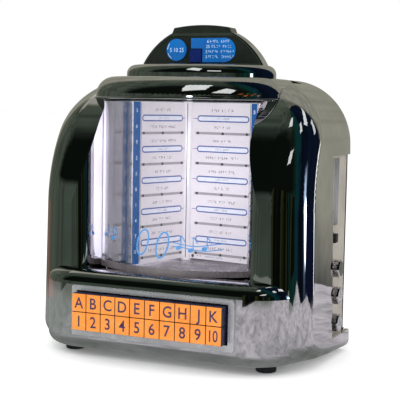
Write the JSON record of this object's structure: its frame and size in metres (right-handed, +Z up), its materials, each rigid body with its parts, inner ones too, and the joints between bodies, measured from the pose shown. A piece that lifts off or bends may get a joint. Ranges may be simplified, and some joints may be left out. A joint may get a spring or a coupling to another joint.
{
  "type": "tabletop jukebox radio",
  "caption": "Chrome diner-style tabletop jukebox radio: round crest, stepped visor, curved window over song pages, bed of orange letter and number keys, side dial with knobs.",
  "frame": {"origin": "on the table under the middle of the body", "axes": "+Z up, the key bed faces -Y, the control strip is on the +X side"},
  "size_m": [0.297, 0.186, 0.3333],
  "materials": {
    "chrome_shell": "mirror-plated moulding",
    "crest_dark": "smoked mirror gloss",
    "label_blue": "printed plate, gloss",
    "label_navy": "printed plate, gloss",
    "clear_window": "clear moulding",
    "page_paper": "printed card, satin",
    "spine_plastic": "satin",
    "backing": "satin grey",
    "circuit_board": "solder-masked board with parts",
    "frame_silver": "satin bright",
    "key_orange": "orange key face, navy sides",
    "tray_navy": "satin navy",
    "panel_satin": "satin grey-beige",
    "dial_clear": "clear moulding",
    "scale_white": "printed scale",
    "pointer_red": "gloss red",
    "switch_black": "satin black",
    "knob_chrome": "plated, ribbed edge",
    "iron_core": "varnished laminations",
    "speaker_frame": "black frame, paper cone",
    "case_black": "fine textured black",
    "foot_rubber": "matte black",
    "screw_steel": "zinc plated",
    "bin_plastic": "satin black"
  },
  "bodies": {
    "housing": {"front_shell": "chrome_shell", "visor_lower": "chrome_shell", "visor_upper": "chrome_shell", "crest_shell": "chrome_shell", "crest_cap": "crest_dark", "crest_face": "crest_dark", "coin_badge": "label_blue", "rate_label": "label_blue", "price_plate": "label_navy", "window_lens": "clear_window", "window_ledge": "chrome_shell", "page_left": "page_paper", "page_right": "page_paper", "leaves_left": "page_paper", "leaves_right": "page_paper", "page_spine": "spine_plastic", "page_backing": "backing", "lamp_board": "circuit_board", "key_frame": "frame_silver", "key_guide": "tray_navy", "key_board": "circuit_board", "side_panel": "panel_satin", "dial_window": "dial_clear", "dial_scale": "scale_white", "control_board": "circuit_board", "main_board": "circuit_board", "transformer": "iron_core", "speaker": "speaker_frame", "mains_inlet": "case_black", "rear_cover": "case_black", "base_plate": "case_black", "feet": "foot_rubber", "rear_screws": "screw_steel", "coin_chute": "bin_plastic"},
    "key_a": {"key_a": "key_orange"},
    "key_b": {"key_b": "key_orange"},
    "key_c": {"key_c": "key_orange"},
    "key_d": {"key_d": "key_orange"},
    "key_e": {"key_e": "key_orange"},
    "key_f": {"key_f": "key_orange"},
    "key_g": {"key_g": "key_orange"},
    "key_h": {"key_h": "key_orange"},
    "key_j": {"key_j": "key_orange"},
    "key_k": {"key_k": "key_orange"},
    "key_1": {"key_1": "key_orange"},
    "key_2": {"key_2": "key_orange"},
    "key_3": {"key_3": "key_orange"},
    "key_4": {"key_4": "key_orange"},
    "key_5": {"key_5": "key_orange"},
    "key_6": {"key_6": "key_orange"},
    "key_7": {"key_7": "key_orange"},
    "key_8": {"key_8": "key_orange"},
    "key_9": {"key_9": "key_orange"},
    "key_10": {"key_10": "key_orange"},
    "tuning_knob": {"tuning_knob": "knob_chrome"},
    "volume_knob": {"volume_knob": "knob_chrome"},
    "tone_knob": {"tone_knob": "knob_chrome"},
    "dial_pointer": {"dial_pointer": "pointer_red"},
    "band_slider": {"band_slider": "switch_black"},
    "coin_drawer": {"coin_drawer": "bin_plastic"}
  },
  "joints": [
    {"name": "key_a_press", "type": "slide", "parent": "housing", "child": "key_a", "axis": [0, 1, 0], "range_m": [0, 0.0025], "stiffness_N_per_m": 150},
    {"name": "key_b_press", "type": "slide", "parent": "housing", "child": "key_b", "axis": [0, 1, 0], "range_m": [0, 0.0025], "stiffness_N_per_m": 150},
    {"name": "key_c_press", "type": "slide", "parent": "housing", "child": "key_c", "axis": [0, 1, 0], "range_m": [0, 0.0025], "stiffness_N_per_m": 150},
    {"name": "key_d_press", "type": "slide", "parent": "housing", "child": "key_d", "axis": [0, 1, 0], "range_m": [0, 0.0025], "stiffness_N_per_m": 150},
    {"name": "key_e_press", "type": "slide", "parent": "housing", "child": "key_e", "axis": [0, 1, 0], "range_m": [0, 0.0025], "stiffness_N_per_m": 150},
    {"name": "key_f_press", "type": "slide", "parent": "housing", "child": "key_f", "axis": [0, 1, 0], "range_m": [0, 0.0025], "stiffness_N_per_m": 150},
    {"name": "key_g_press", "type": "slide", "parent": "housing", "child": "key_g", "axis": [0, 1, 0], "range_m": [0, 0.0025], "stiffness_N_per_m": 150},
    {"name": "key_h_press", "type": "slide", "parent": "housing", "child": "key_h", "axis": [0, 1, 0], "range_m": [0, 0.0025], "stiffness_N_per_m": 150},
    {"name": "key_j_press", "type": "slide", "parent": "housing", "child": "key_j", "axis": [0, 1, 0], "range_m": [0, 0.0025], "stiffness_N_per_m": 150},
    {"name": "key_k_press", "type": "slide", "parent": "housing", "child": "key_k", "axis": [0, 1, 0], "range_m": [0, 0.0025], "stiffness_N_per_m": 150},
    {"name": "key_1_press", "type": "slide", "parent": "housing", "child": "key_1", "axis": [0, 1, 0], "range_m": [0, 0.0025], "stiffness_N_per_m": 150},
    {"name": "key_2_press", "type": "slide", "parent": "housing", "child": "key_2", "axis": [0, 1, 0], "range_m": [0, 0.0025], "stiffness_N_per_m": 150},
    {"name": "key_3_press", "type": "slide", "parent": "housing", "child": "key_3", "axis": [0, 1, 0], "range_m": [0, 0.0025], "stiffness_N_per_m": 150},
    {"name": "key_4_press", "type": "slide", "parent": "housing", "child": "key_4", "axis": [0, 1, 0], "range_m": [0, 0.0025], "stiffness_N_per_m": 150},
    {"name": "key_5_press", "type": "slide", "parent": "housing", "child": "key_5", "axis": [0, 1, 0], "range_m": [0, 0.0025], "stiffness_N_per_m": 150},
    {"name": "key_6_press", "type": "slide", "parent": "housing", "child": "key_6", "axis": [0, 1, 0], "range_m": [0, 0.0025], "stiffness_N_per_m": 150},
    {"name": "key_7_press", "type": "slide", "parent": "housing", "child": "key_7", "axis": [0, 1, 0], "range_m": [0, 0.0025], "stiffness_N_per_m": 150},
    {"name": "key_8_press", "type": "slide", "parent": "housing", "child": "key_8", "axis": [0, 1, 0], "range_m": [0, 0.0025], "stiffness_N_per_m": 150},
    {"name": "key_9_press", "type": "slide", "parent": "housing", "child": "key_9", "axis": [0, 1, 0], "range_m": [0, 0.0025], "stiffness_N_per_m": 150},
    {"name": "key_10_press", "type": "slide", "parent": "housing", "child": "key_10", "axis": [0, 1, 0], "range_m": [0, 0.0025], "stiffness_N_per_m": 150},
    {"name": "tuning_turn", "type": "hinge", "parent": "housing", "child": "tuning_knob", "pos_m": [0.139, 0.046, 0.0905], "axis": [1, 0, 0], "range_deg": [-360, 360]},
    {"name": "volume_turn", "type": "hinge", "parent": "housing", "child": "volume_knob", "pos_m": [0.139, 0.046, 0.0632], "axis": [1, 0, 0], "range_deg": [0, 290]},
    {"name": "tone_turn", "type": "hinge", "parent": "housing", "child": "tone_knob", "pos_m": [0.139, 0.046, 0.0355], "axis": [1, 0, 0], "range_deg": [-140, 140]},
    {"name": "dial_slide", "type": "slide", "parent": "housing", "child": "dial_pointer", "axis": [0, 0, 1], "range_m": [-0.03, 0.03]},
    {"name": "band_slide", "type": "slide", "parent": "housing", "child": "band_slider", "axis": [0, 0, -1], "range_m": [0, 0.004]},
    {"name": "coin_drawer_slide", "type": "slide", "parent": "housing", "child": "coin_drawer", "axis": [0, 1, 0], "range_m": [0, 0.06]}
  ],
  "couplings": [
    {"joint": "dial_slide", "follows": "tuning_turn", "m_per_rad": 0.0047}
  ]
}
